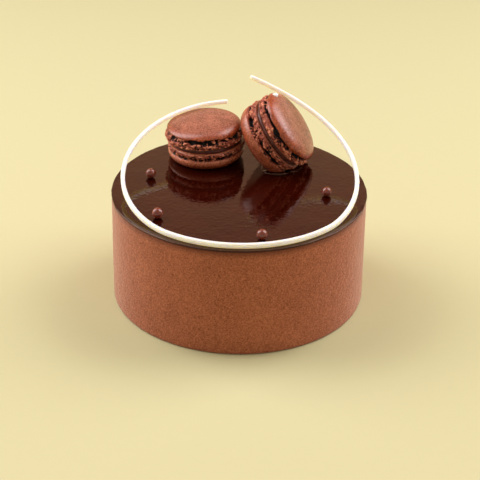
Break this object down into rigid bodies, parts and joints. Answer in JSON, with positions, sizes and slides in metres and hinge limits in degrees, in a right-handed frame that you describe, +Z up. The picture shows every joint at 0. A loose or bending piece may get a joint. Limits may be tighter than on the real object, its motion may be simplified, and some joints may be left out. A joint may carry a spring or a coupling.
{
  "type": "chocolate creme brulee cake",
  "caption": "Round uncut chocolate cake with velvet cocoa sides and a dark mirror glaze, topped with macarons, chocolate pearls and an open white chocolate ring.",
  "frame": {"origin": "middle of the flat underside", "axes": "+Z up, -Y towards the front of the cake, +X to the right as seen from the front"},
  "size_m": [0.15, 0.15, 0.1174],
  "materials": {
    "cocoa_velvet": "fine matte cocoa velvet",
    "mirror_glaze": "mirror gloss",
    "white_chocolate": "satin",
    "macaron_shell": "satin crown over a craggy foot",
    "ganache": "semi gloss",
    "chocolate_pearl": "satin"
  },
  "bodies": {
    "root": {"cake_body": "cocoa_velvet", "glaze": "mirror_glaze", "white_ring": "white_chocolate", "macaron_flat_top_shell": "macaron_shell", "macaron_flat_filling": "ganache", "macaron_flat_bottom_shell": "macaron_shell", "macaron_leaning_outer_shell": "macaron_shell", "macaron_leaning_filling": "ganache", "macaron_leaning_inner_shell": "macaron_shell", "pearl_1": "chocolate_pearl", "pearl_2": "chocolate_pearl", "pearl_3": "chocolate_pearl", "pearl_4": "chocolate_pearl"}
  },
  "joints": []
}
